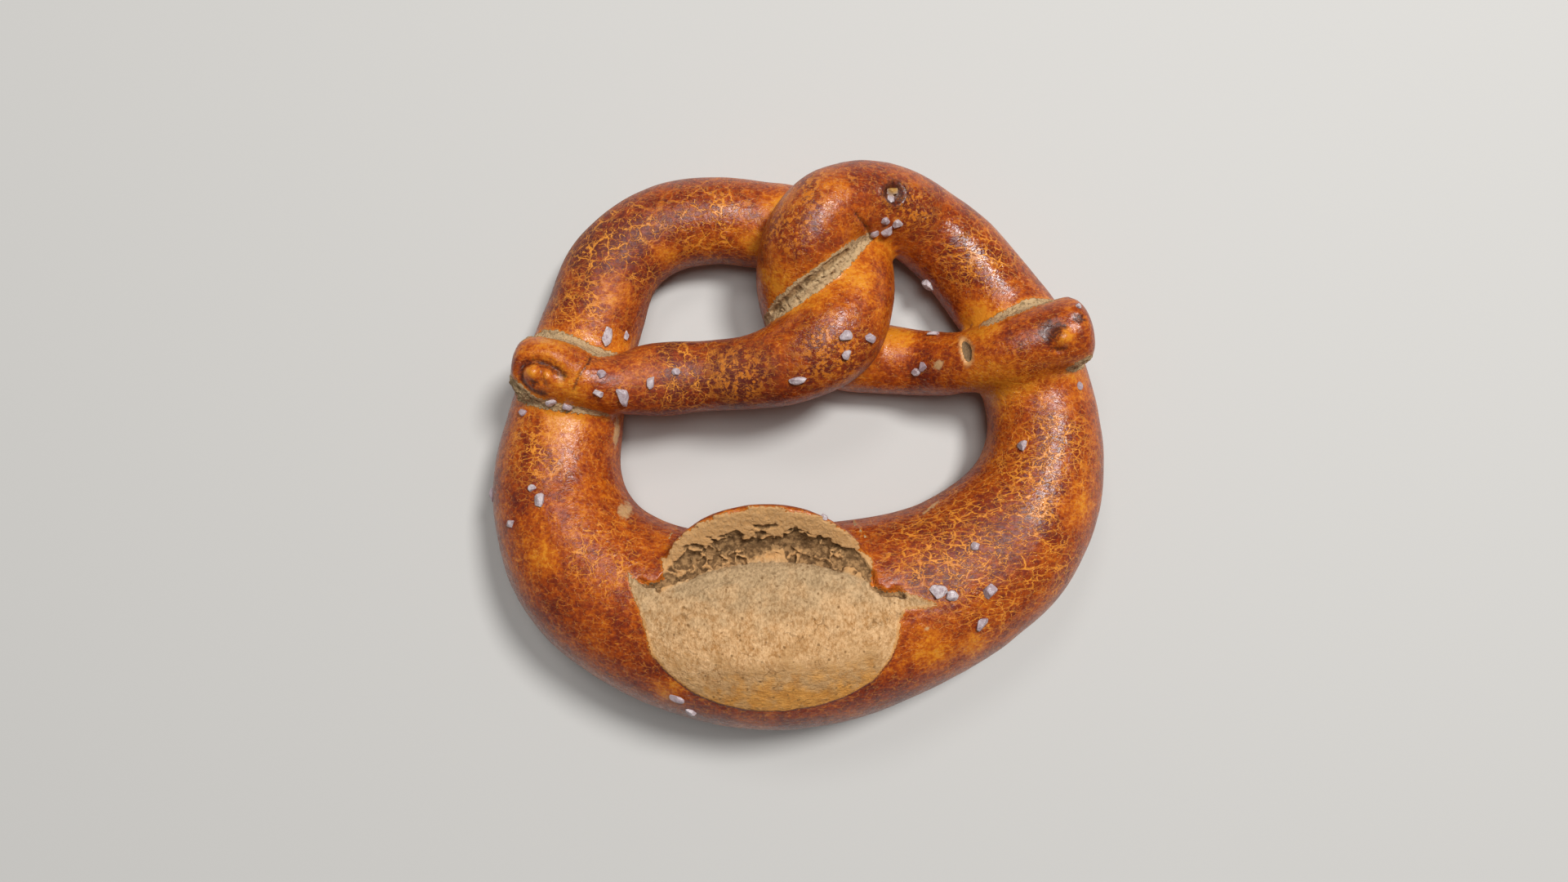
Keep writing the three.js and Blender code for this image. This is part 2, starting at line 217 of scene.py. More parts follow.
DOTTED = [(-3.0, 52.0, 8.0), (8.0, 22.0, 9.0), (-14.0, 17.0, 7.0), (26.0, 57.0, 7.0), (4.0, 60.0, 6.0)]

# Coarse salt, as the solid has it: x, y, length, width and heading in degrees.
SALT = [
    (-47.4, 26.8, 4.4, 2.4, 85), (-42.9, 27.2, 2.2, 1.2, 80), (-47.2, 16.9, 1.9, 1.9, 20),
    (-47.9, 12.5, 2.3, 2.1, 0), (-42.2, 11.9, 4.7, 2.3, -72), (-35.5, 15.1, 2.9, 1.8, 75),
    (-29.5, 17.5, 2.0, 1.6, 0), (-59.7, 10.4, 2.7, 1.6, 35), (-56.1, 9.4, 2.2, 2.0, -40),
    (-67.4, 8.0, 1.8, 1.8, 30), (-64.0, -10.4, 1.8, 1.6, 0), (-62.0, -13.3, 3.1, 2.2, 85),
    (-69.4, -18.9, 2.0, 1.8, 60), (-76.3, -12.6, 3.3, 1.6, 85), (-28.7, -59.8, 3.5, 1.9, -20),
    (-25.8, -63.6, 2.5, 1.8, -15), (5.9, -16.9, 1.6, 1.6, 0), (0.0, 15.4, 3.9, 1.9, -3),
    (11.0, 25.7, 2.9, 2.3, 15), (11.2, 21.5, 2.3, 2.1, 0), (16.9, 25.7, 2.5, 2.3, -45),
    (18.6, 51.6, 2.4, 1.6, 85), (21.0, 54.3, 2.0, 1.8, 0), (23.9, 53.9, 2.4, 1.8, 10),
    (21.6, 52.4, 2.8, 2.2, 70), (22.4, 59.4, 2.2, 1.8, 80), (22.6, 61.3, 2.8, 1.8, 5),
    (33.2, 41.0, 3.2, 2.4, -60), (34.0, 27.6, 2.7, 1.6, -30), (30.9, 19.6, 2.4, 2.0, 60),
    (29.4, 18.1, 2.2, 1.8, 30), (54.7, -0.4, 2.4, 2.2, 40), (69.3, 14.5, 2.0, 1.4, 80),
    (41.7, -24.0, 2.1, 1.9, 0), (32.6, -34.3, 3.3, 3.1, 30), (35.9, -35.3, 2.7, 2.3, 0),
    (45.0, -34.7, 3.3, 2.9, 60), (43.2, -42.0, 3.3, 2.3, 70), (66.6, 33.1, 1.4, 1.4, 0),
]
STAINED = [(22.8, 61.9, 1.6)]  # salt that has turned brown in the burnt hollow: x, y, radius
SALT_SWELL = 1.12
SALT_HEIGHT = 0.75
SALT_SINK = 0.3

CAMERA_AT = (-3.5, 1.0, 335.0)
CAMERA_LENS = 29.27  # on the 36 mm sensor


# ---------------------------------------------------------------- the rope

def curve(rows, station):
    """Uniform Catmull-Rom curve through rows, its ends reflected as the solid's are."""
    whole = np.vstack([2 * rows[0] - rows[1], rows, 2 * rows[-1] - rows[-2]])
    station = np.clip(station, 0, LAST)
    span = np.minimum(station.astype(int), LAST - 1)
    w = (station - span)[:, None]
    a, b, c, d = (whole[span + k] for k in range(4))
    return b + 0.5 * w * (c - a + w * (2 * a - 5 * b + 4 * c - d + w * (3 * (b - c) + d - a)))


def unit(vectors):
    return vectors / np.linalg.norm(vectors, axis=1, keepdims=True)


def rope(station):
    """Middle, sideways and upward directions, and half sizes of the rope at each station."""
    middle = curve(STATIONS[:, :3], station)
    ahead = unit(curve(STATIONS[:, :3], station + 0.01) - curve(STATIONS[:, :3], station - 0.01))
    side = unit(np.cross(UP, ahead))
    rise = np.cross(ahead, side)
    ends = STATIONS[[0, LAST], :3]
    gap = np.linalg.norm(middle[:, None] - ends[None], axis=2).min(axis=1)
    drawn = np.sqrt(1 - (1 - np.clip(gap / TIP_LENGTH, 0, 1)) ** 2) * 0.9 + 0.1
    return middle, side, rise, curve(STATIONS[:, 3:], station) * drawn[:, None]


def tube(rings):
    """Vertices and faces of a closed tube through rings of points."""
    count, sides = rings.shape[:2]
    ring, turn = np.meshgrid(np.arange(count - 1), np.arange(sides), indexing="ij")
    after = (turn + 1) % sides
    corners = [ring * sides + turn, ring * sides + after, (ring + 1) * sides + after, (ring + 1) * sides + turn]
    faces = np.stack(corners, axis=-1).reshape(-1, 4).tolist()
    faces.append(list(range(sides))[::-1])
    faces.append(list(range((count - 1) * sides, count * sides)))
    return rings.reshape(-1, 3), faces


def strand(start, end):
    middle, side, rise, half = rope(np.linspace(start, end, int((end - start) * RINGS_PER_SPAN) + 1))
    turn = np.linspace(0, 2 * np.pi, RING_SIDES, endpoint=False)[None, :, None]
    rings = (middle[:, None] + side[:, None] * half[:, None, :1] * np.cos(turn)
             + rise[:, None] * half[:, None, 1:] * np.sin(turn))
    rings[..., 2] = np.maximum(rings[..., 2], 0)
    return tube(rings)


def valley_line(x):
    return VALLEY_Y - VALLEY_DROP * ((x - VALLEY_X) / VALLEY_REACH) ** 2


def torn_climb(x, y):
    """How far up the torn slope a point of the plan is: 0 at the valley, 1 at the edge of the lip."""
    spread = np.sqrt(np.maximum(0, 1 - ((x - LIP_CENTER[0]) / LIP_RADII[0]) ** 2))
    edge = LIP_CENTER[1] + LIP_RADII[1] * spread
    climb = (y - valley_line(x)) / np.maximum(edge - valley_line(x), 1)
    return np.clip(climb, -0.3, 1.5), spread


def torn_height(x, y):
    climb, spread = torn_climb(x, y)
    return VALLEY_Z + (LIP_EDGE_Z - VALLEY_Z) * spread * climb


def lip():
    """The lifted lip: a rounded mass pressed down onto the torn slope."""
    down = np.linspace(0.01, np.pi - 0.01, 160)[:, None]
    turn = np.linspace(0, 2 * np.pi, 220, endpoint=False)[None, :]
    ball = np.stack([np.sin(down) * np.cos(turn), np.sin(down) * np.sin(turn), np.cos(down) + 0 * turn], axis=-1)
    rings = LIP_CENTER + ball[::-1] * LIP_RADII
    rings[..., 2] = np.minimum(rings[..., 2], torn_height(rings[..., 0], rings[..., 1]))
    return tube(rings)


def stack(shapes):
    """Points and faces of several shapes together."""
    points, faces = [], []
    for vertices, polygons in shapes:
        start = sum(map(len, points))
        faces += [[start + k for k in polygon] for polygon in polygons]
        points.append(vertices)
    return np.vstack(points), faces


def mesh_object(name, shapes):
    """One object from several (vertices in mm, faces) shapes."""
    points, faces = stack(shapes)
    mesh = bpy.data.meshes.new(name)
    mesh.from_pydata((points * MM).tolist(), [], faces)
    thing = bpy.data.objects.new(name, mesh)
    bpy.context.collection.objects.link(thing)
    return thing


def drop(tree, x, y):
    """The highest point of a surface at x, y and its normal there, or None where there is nothing."""
    hit, normal, _, _ = tree.ray_cast(Vector((x, y, 100)), Vector((0, 0, -1)))
    return hit, normal


# ---------------------------------------------------------------- tears between lengths of rope

def along(rows, step=0.4):
    """A path's rows, resampled every step mm."""
    rows = np.array(rows)
    reach = np.concatenate([[0], np.cumsum(np.linalg.norm(np.diff(rows[:, :2], axis=0), axis=1))])
    place = np.linspace(0, reach[-1], max(2, int(reach[-1] / step)))
    return np.stack([np.interp(place, reach, column) for column in rows.T], axis=1)


def tear_path(tree, stand, rows):
    """A tear's middle line along the top of its crumb: x, y, z and half width."""
    rows = along(rows)
    ahead = np.gradient(rows[:, :2], axis=0)
    across = unit(np.stack([-ahead[:, 1], ahead[:, 0]], axis=1))
    level = []
    for (x, y, half), (sx, sy) in zip(rows, across):
        beside = [drop(tree, x + sign * (half + 0.4) * sx, y + sign * (half + 0.4) * sy)[0] for sign in (-1, 1)]
        level.append(min((hit.z for hit in beside if hit), default=np.nan))
    level = np.array(level)
    known = ~np.isnan(level)
    level = np.interp(np.arange(len(level)), np.arange(len(level))[known], level[known])
    level = np.convolve(np.pad(level, 4, mode="edge"), np.ones(9) / 9, mode="valid") + stand
    return np.column_stack([rows[:, :2], level, rows[:, 2]])


def tear_strip(path):
    """A strip of crumb that fills a tear: an upright tube, nearly square, whose top follows the path."""
    ahead = np.gradient(path[:, :3], axis=0)
    across = unit(np.cross(UP, ahead))
    turn = np.linspace(0, 2 * np.pi, 24, endpoint=False)[None, :, None]
    sideways, upward = (np.sign(wave) * np.abs(wave) ** 0.6 for wave in (np.cos(turn), np.sin(turn)))
    half = path[:, 3][:, None, None]
    middle = path[:, None, :3] - UP * TEAR_DEPTH
    return tube(middle + across[:, None] * half * sideways + UP * TEAR_DEPTH * upward)


# ---------------------------------------------------------------- measuring the surface

def smooth_step(value, low, high):
    w = np.clip((value - low) / (high - low), 0, 1)
    return w * w * (3 - 2 * w)


def grain_noise(points, size, offset=0.0, octaves=1):
    """Perlin noise of the given feature size at each point, from about -1 to 1."""
    scaled = (points / size + offset).tolist()
    if octaves == 1:
        return np.array([noise.noise(p) for p in scaled])
    return np.array([noise.fractal(p, 0.8, 2.0, octaves) for p in scaled])


def blobs(points, rows):
    """Soft round patches seen from above: 1 in the middle of each, 0 from 1.6 radii."""
    total = np.zeros(len(points))
    for x, y, radius in rows:
        away = np.hypot(points[:, 0] - x, points[:, 1] - y) / radius
        total = np.maximum(total, 1 - smooth_step(away, 0.4, 1.6))
    return total


def outline_depth(points, outline):
    """Signed distance in plan to a closed outline, positive inside."""
    start, end = outline, np.roll(outline, -1, axis=0)
    depth = np.full(len(points), np.inf)
    inside = np.zeros(len(points), bool)
    px, py = points[:, 0], points[:, 1]
    for (ax, ay), (bx, by) in zip(start, end):
        w = np.clip(((px - ax) * (bx - ax) + (py - ay) * (by - ay)) / ((bx - ax) ** 2 + (by - ay) ** 2), 0, 1)
        depth = np.minimum(depth, np.hypot(px - ax - w * (bx - ax), py - ay - w * (by - ay)))
        crosses = (ay > py) != (by > py)
        slope = (bx - ax) / (by - ay) if by != ay else 0.0
        inside ^= crosses & (px < ax + slope * (py - ay))
    return np.where(inside, depth, -depth)


def nearest(points, path):
    """Distance from each point to a path of points, and which of them is the nearest."""
    finder = KDTree(len(path))
    for index, point in enumerate(path.tolist()):
        finder.insert(point, index)
    finder.balance()
    found = [finder.find(p)[1:] for p in points.tolist()]
    index, distance = zip(*found)
    return np.array(distance), np.array(index)


def beside(points, rows):
    """As nearest, for a path given by rows that start with x and y, seen from above; also its rows."""
    path = along(rows)
    flat = np.column_stack([path[:, :2], np.zeros(len(path))])
    distance, index = nearest(points * (1, 1, 0), flat)
    return distance, path[index]


def oval(points, x, y, length, width, heading):
    """Distance from the middle of an oval seen from above, in its own radii: 1 on its edge."""
    turn = np.radians(heading)
    dx, dy = points[:, 0] - x, points[:, 1] - y
    ahead = dx * np.cos(turn) + dy * np.sin(turn)
    across = dy * np.cos(turn) - dx * np.sin(turn)
    return np.hypot(ahead / length, across / width) * 2


def crease_distance(points):
    """How far each point is outside the nearest other length of rope."""
    fine = np.linspace(0, LAST, LAST * 30 + 1)
    middle, side, rise, half = rope(fine)
    outside, station = [], []
    for start, end in LENGTHS:
        first = start * 30
        near = first + nearest(points, middle[first:end * 30 + 1])[1]
        away = points - middle[near]
        x = (away * side[near]).sum(axis=1)
        z = (away * rise[near]).sum(axis=1)
        past = np.sqrt(np.maximum((away ** 2).sum(axis=1) - x ** 2 - z ** 2, 0))
        share = np.sqrt((x / half[near, 0]) ** 2 + (z / half[near, 1]) ** 2 + (past / half[near, 0]) ** 2)
        outside.append((share - 1) * half[near].min(axis=1))
        station.append(fine[near])
    outside, station = np.array(outside), np.array(station)
    owner = outside.argmin(axis=0)
    each = np.arange(len(points))
    other = np.where(np.abs(station - station[owner, each]) > 2.5, outside, 30.0)
    other[owner, each] = 30.0
    return np.clip(other.min(axis=0), 0, 30)


# ---------------------------------------------------------------- the baked form

def points_of(mesh):
    flat = np.empty(len(mesh.vertices) * 3)
    mesh.vertices.foreach_get("co", flat)
    return flat.reshape(-1, 3) / MM


def normals_of(mesh):
    flat = np.empty(len(mesh.vertices) * 3)
    mesh.vertices.foreach_get("normal", flat)
    return flat.reshape(-1, 3)


def put_points(mesh, points):
    mesh.vertices.foreach_set("co", (points * MM).ravel())
    mesh.update()


def skin(thing):
    """Replaces an object's overlapping solids by their outer skin, an even mesh."""
    remesh = thing.modifiers.new("skin", "REMESH")
    remesh.mode = "VOXEL"
    remesh.voxel_size = VOXEL * MM
    evaluated = thing.evaluated_get(bpy.context.evaluated_depsgraph_get())
    mesh = bpy.data.meshes.new_from_object(evaluated)
    rough = thing.data
    thing.modifiers.clear()
    thing.data = mesh
    bpy.data.meshes.remove(rough)
    return mesh


def relax(mesh, rounds, share=0.5):
    """Draws each vertex towards the middle of its neighbours, by a share that may differ over the mesh."""
    points = points_of(mesh)
    pairs = np.empty(len(mesh.edges) * 2, int)
    mesh.edges.foreach_get("vertices", pairs)
    start, end = pairs.reshape(-1, 2).T
    here, there = np.concatenate([start, end]), np.concatenate([end, start])
    count = np.bincount(here, minlength=len(points))
    for _ in range(rounds):
        mean = [np.bincount(here, points[there, k], len(points)) / count for k in range(3)]
        points += (share * (np.stack(mean) - points.T)).T
    put_points(mesh, points)


def refine(mesh, wanted):
    """Splits the edges whose two ends are both wanted."""
    form = bmesh.new()
    form.from_mesh(mesh)
    edges = [edge for edge in form.edges if all(wanted[v.index] for v in edge.verts)]
    bmesh.ops.subdivide_edges(form, edges=edges, cuts=1, use_grid_fill=True)
    bmesh.ops.triangulate(form, faces=[face for face in form.faces if len(face.verts) > 4])
    form.to_mesh(mesh)
    form.free()


def burst_depth(points, normals):
    """Signed distance to the edge of the burst, positive on its crumb, and what lies on the torn slope."""
    x, y, z = points.T
    depth = np.where(normals[:, 2] > 0.05, outline_depth(points, BURST), -5.0)
    width, depth_y = 2 * LIP_RADII[:2] + (2, 4)
    on_slope = (oval(points, *LIP_CENTER[:2], width, depth_y, 0) < 1) & (y > valley_line(x))
    return np.where(on_slope, np.minimum(depth, 0.5 - (torn_height(x, y) - z)), depth), on_slope


def survey(mesh, paths):
    """What the relief and the colours need to know at each vertex."""
    points, normals = points_of(mesh), normals_of(mesh)
    burst, on_slope = burst_depth(points, normals)
    tear = []
    for path in paths:
        distance, index = nearest(points * TEAR_FLATTEN, path[:, :3] * TEAR_FLATTEN)
        below = path[index, 2] - points[:, 2]
        tear.append(np.minimum(path[index, 3] - distance, TEAR_FOOT - below))
    return {
        "points": points, "normals": normals, "burst": burst, "on_slope": on_slope,
        "tear": np.where(normals[:, 2] > -0.1, np.max(tear, axis=0), -5.0),
        "top": smooth_step(normals[:, 2], -0.1, 0.5),
    }


def wants_detail(field):
    """Where the mesh is too coarse for the relief."""
    points = field["points"]
    near = (field["burst"] > -1.5) | (field["tear"] > -1)
    for _, rows in GROOVES.values():
        near |= beside(points, rows)[0] < 2
    near |= oval(points, *WINDOW) < 1.4
    near |= np.hypot(points[:, 0] - CRATER[0], points[:, 1] - CRATER[1]) < 4.5
    return near & (field["normals"][:, 2] > -0.3)


def wants_finest(field):
    points = field["points"]
    slope = field["on_slope"] & (field["burst"] > -1)
    return (slope | (field["tear"] > -0.4)) & (field["normals"][:, 2] > -0.3)


def bubbles(points, size, offset):
    """Torn bubbles, one for each Voronoi cell: how far inside each point is, the cell's x, y and its draw."""
    inside, middles, draws = [], [], []
    for point in (points / size + offset).tolist():
        distances, cells = noise.voronoi(point)
        inside.append(distances[1] - distances[0])
        middles.append(cells[0])
        draws.append(noise.noise(cells[0] * 5.3))
    return np.array(inside), (np.array(middles) - offset) * size, np.array(draws)


def slope_hollows(points):
    """Depth, 0 to 1, of the cavities in the torn slope: burst bubbles, some parted by thin walls."""
    drift = np.array([noise.noise_vector(p) for p in (points / 1.6).tolist()])
    inside, _, draws = bubbles(points + 0.9 * drift, 4.2, 3.0)
    broad, fine = grain_noise(points, 4.5, 33.0), grain_noise(points, 1.1, 12.0)
    climb = torn_climb(*points[:, :2].T)[0]
    top = climb + 0.22 * draws + 0.07 * fine + 0.06 * drift[:, 0]
    foot = climb + 0.25 * broad + 0.08 * fine
    wall = (1 - smooth_step(inside, 0.02, 0.12)) * smooth_step(broad + 0.4 * fine, 0.1, 0.3)
    large = (1 - smooth_step(top, 0.5, 0.56)) * smooth_step(foot, 0.04, 0.14) * (1 - wall) * (0.85 + 0.5 * draws)
    inside, _, draws = bubbles(points + 0.4 * drift, 1.4, 9.0)
    pits = (draws > 0.0) * (climb > -0.05) * (climb < 0.5) * smooth_step(inside, 0.1, 0.5)
    return np.clip(np.maximum(large, 0.4 * pits), 0, 1)


def hollows(field):
    """Depth, 0 to 1, of every cavity in the crumb, by which it is sunk and painted with shade."""
    points, burst = field["points"], field["burst"]
    hollow = np.zeros(len(points))
    slope = field["on_slope"] & (burst > 0.2)
    hollow[slope] = slope_hollows(points[slope])
    tears = field["tear"] > -0.2
    uneven = grain_noise(points[tears], 1.5, 21.0) + 0.6 * grain_noise(points[tears], 0.7, 22.0)
    hollow[tears] = 0.3 * smooth_step(uneven, 0.1, 0.6) * smooth_step(field["tear"][tears], 0.3, 1.2)
    distance, row = beside(points[tears], SLIT)
    slit = (1 - smooth_step(distance / row[:, 2], 0.4, 1.4)) * smooth_step(grain_noise(points[tears], 2.6, 23.0), -0.5, 0.1)
    hollow[tears] = np.maximum(hollow[tears], 0.46 * slit)
    for rows in GAPS:
        distance, row = beside(points, rows)
        hollow = np.maximum(hollow, (1 - smooth_step(distance / row[:, 2], 0.5, 1.4)) * (burst > -0.8))
    window = oval(points, *WINDOW)
    return np.maximum(hollow, 0.4 * (1 - smooth_step(window, 0.75, 1.0))) * (field["top"] > 0)


def pressed_marks(points):
    """Relief of the grooves, lumps, blisters and the crater, and how dark they are painted: scorched in the burnt
    places, partly darker bake and partly painted shade in the grooves.
    """
    relief, scorch_and_shade = np.zeros(len(points)), np.zeros(len(points))
    for darkness, rows in GROOVES.values():
        distance, row = beside(points, rows)
        shape = np.exp(-(distance / row[:, 2]) ** 2)
        relief -= row[:, 3] * shape
        scorch_and_shade = np.maximum(scorch_and_shade, darkness * shape)
    for x, y, length, width, heading, height in LUMPS:
        relief += height * np.exp(-oval(points, x, y, length, width, heading) ** 2)
    for x, y, radius in BLISTERS:
        relief += 0.35 * np.exp(-oval(points, x, y, 2 * radius, 2 * radius, 0) ** 2)
    x, y, radius, depth = CRATER
    away = np.hypot(points[:, 0] - x, points[:, 1] - y)
    relief += 0.3 * np.exp(-((away - radius) / 0.7) ** 2) - depth * (1 - smooth_step(away, 0.4 * radius, radius))
    return relief, np.maximum(scorch_and_shade, 0.8 * blobs(points, SCORCHED))


def raised(field, hollow, marks):
    """How far each vertex moves along its normal."""
    points, burst, top = field["points"], field["burst"], field["top"]
    relief = 0.3 * grain_noise(points, 17.0) + 0.12 * grain_noise(points, 6.0, 5.0) + marks * top
    relief -= 1.9 * hollow

    dome = (burst > -1) & ~field["on_slope"]
    bulge = smooth_step(burst[dome], 1.0, 14.0) + 0.5 * smooth_step(burst[dome], -0.1, 0.4)
    relief[dome] += bulge - 0.7 * smooth_step(burst[dome], -0.1, 0.6) * smooth_step(points[dome, 1], -52.0, -44.0)
    valley = (points[:, 1] - valley_line(points[:, 0])) / 0.9
    relief -= 0.5 * np.exp(-valley ** 2) * smooth_step(burst, 1.0, 3.0)

    crumb = (burst > 0) | (field["tear"] > 0)
    fibres = points[crumb] * (1.0, 0.7, 1.0)
    relief[crumb] += 0.12 * grain_noise(fibres, 0.9, 60.0) + 0.16 * grain_noise(points[crumb], 2.2, 80.0)
    folds = points[dome] * (0.3, 1.0, 1.0)
    relief[dome] += 0.3 * grain_noise(folds, 2.5, 40.0) * smooth_step(points[dome, 1], -44.0, -36.0)
    return relief


def set_field(mesh, name, values):
    attribute = mesh.attributes.new(name, "FLOAT", "POINT")
    attribute.data.foreach_set("value", np.asarray(values, float))


def ovals(points, rows):
    """Soft oval patches: 1 in the middle of each, 0 from 1.3 radii."""
    return np.max([1 - smooth_step(oval(points, *row), 0.5, 1.3) for row in rows], axis=0)


def colour_fields(mesh, field, hollow, scorch_and_shade):
    """The masks that the loaf's material reads."""
    points, top = field["points"], field["top"]
    crease = crease_distance(points)
    amber, dark = blobs(points, AMBER) * top, blobs(points, DARK)
    near_crease = np.exp(-crease / 4.0)
    set_field(mesh, "torn", np.maximum(field["burst"], field["tear"]))
    set_field(mesh, "seam", smooth_step(field["tear"], -0.3, 0.2))
    set_field(mesh, "hollow", hollow)
    toast = np.interp(-points[:, 1], *CRUMB_TOAST.T) + 0.1 * smooth_step(points[:, 0], -20.0, 20.0) - 0.05
    set_field(mesh, "toast", toast)
    set_field(mesh, "slope", field["on_slope"] * smooth_step(torn_climb(*points[:, :2].T)[0], -0.05, 0.1))
    crazed = blobs(points, CRAZED) * (1 - 0.6 * amber)
    dull = blobs(points, DULL)
    # Darker in the DARK patches, some of them partly painted shade, in the fine crackle and where it is dull.
    darkened = 0.18 * dark * (1 - near_crease) + 0.04 * crazed + 0.2 * dull
    set_field(mesh, "bake", 0.52 - 0.38 * near_crease - 0.36 * amber + darkened)
    set_field(mesh, "crazed", crazed)
    set_field(mesh, "cracked", blobs(points, CRACKED) * (1 - 0.6 * amber))
    set_field(mesh, "dotted", blobs(points, DOTTED) * top)
    set_field(mesh, "scar", ovals(points, SCARS) * (field["normals"][:, 2] > -0.4))
    window = oval(points, *WINDOW)
    set_field(mesh, "window", (1 - smooth_step(window, 1.0, 1.35)) * top)
    set_field(mesh, "scorch_and_shade", scorch_and_shade * top)
    set_field(mesh, "under", 1 - smooth_step(points[:, 2], 0.3, 4.0))
    set_field(mesh, "side", 1 - top)
    set_field(mesh, "dull", dull - 0.5 * blobs(points, SHINY))


def make_loaf():
    """The pretzel without its salt."""
    shapes = [strand(start, end) for start, end in LENGTHS] + [lip()]
    bare = BVHTree.FromPolygons(*stack(shapes))
    paths = [tear_path(bare, stand, rows) for stand, rows in TEARS.values()]
    thing = mesh_object("loaf", shapes + [tear_strip(path) for path in paths])
    mesh = skin(thing)
    relax(mesh, SMOOTHING)
    relax(mesh, MELTING, 0.5 * blobs(points_of(mesh), MELTED) * (normals_of(mesh)[:, 2] > -0.5))
    refine(mesh, wants_detail(survey(mesh, paths)))
    refine(mesh, wants_finest(survey(mesh, paths)))
    field = survey(mesh, paths)
    hollow = hollows(field)
    marks, scorch_and_shade = pressed_marks(field["points"])
    relief = raised(field, hollow, marks)
    points = field["points"] + field["normals"] * relief[:, None]
    resting = field["points"][:, 2] < 0.3
    points[:, 2] = np.where(resting, 0.1 * np.maximum(relief, 0), np.maximum(points[:, 2], 0))
    put_points(mesh, points)
    colour_fields(mesh, field, hollow, scorch_and_shade)
    mesh.shade_smooth()
    return thing


# ---------------------------------------------------------------- salt

def broken_lump(rng):
    """A lump of salt within the unit ball: a ball cut by random planes, a little worn."""
    form = bmesh.new()
    bmesh.ops.create_icosphere(form, subdivisions=4, radius=1.0)
    ball = unit(np.array([v.co for v in form.verts]))
    faces = [[v.index for v in face.verts] for face in form.faces]
    form.free()
    facets = unit(rng.normal(size=(9, 3)))
    depths = rng.uniform(0.5, 0.85, 9)
    slant = ball @ facets.T
    cut = np.where(slant > 0.05, depths / np.maximum(slant, 0.05), 9).min(axis=1)
    lump = ball * np.minimum(cut, 1.0)[:, None]
    offset = rng.uniform(0, 90)
    lump *= 1 + 0.07 * grain_noise(lump, 0.8, offset)[:, None] + 0.03 * grain_noise(lump, 0.25, offset)[:, None]
    return 2 * lump / np.ptp(lump, axis=0), faces


def crystal(rng, row, tree):
    """One grain: its longest side lies along the crust, in which it is partly sunk."""
    x, y, length, width, heading = row
    hit, normal = drop(tree, x, y)
    lump, faces = broken_lump(rng)
    height = width * SALT_HEIGHT
    lump *= np.array([length, width, height]) * SALT_SWELL / 2
    turn = np.radians(heading)
    up = np.array(normal)
    ahead = np.array([np.cos(turn), np.sin(turn), 0])
    ahead -= up * (ahead @ up)
    ahead /= np.linalg.norm(ahead)
    axes = np.array([ahead, np.cross(up, ahead), up])
    return np.array(hit) + up * height * (0.5 - SALT_SINK) + lump @ axes, faces


def make_salt(loaf):
    rng = np.random.default_rng(SEED)
    mesh = loaf.data
    tree = BVHTree.FromPolygons(points_of(mesh).tolist(), [list(face.vertices) for face in mesh.polygons])
    grains = [crystal(rng, row, tree) for row in SALT]
    thing = mesh_object("salt", grains)
    tint = np.concatenate([np.full(len(vertices), rng.uniform()) for vertices, _ in grains])
    set_field(thing.data, "tint", tint)
    set_field(thing.data, "stain", blobs(points_of(thing.data), STAINED))
    return thing


# ---------------------------------------------------------------- materials

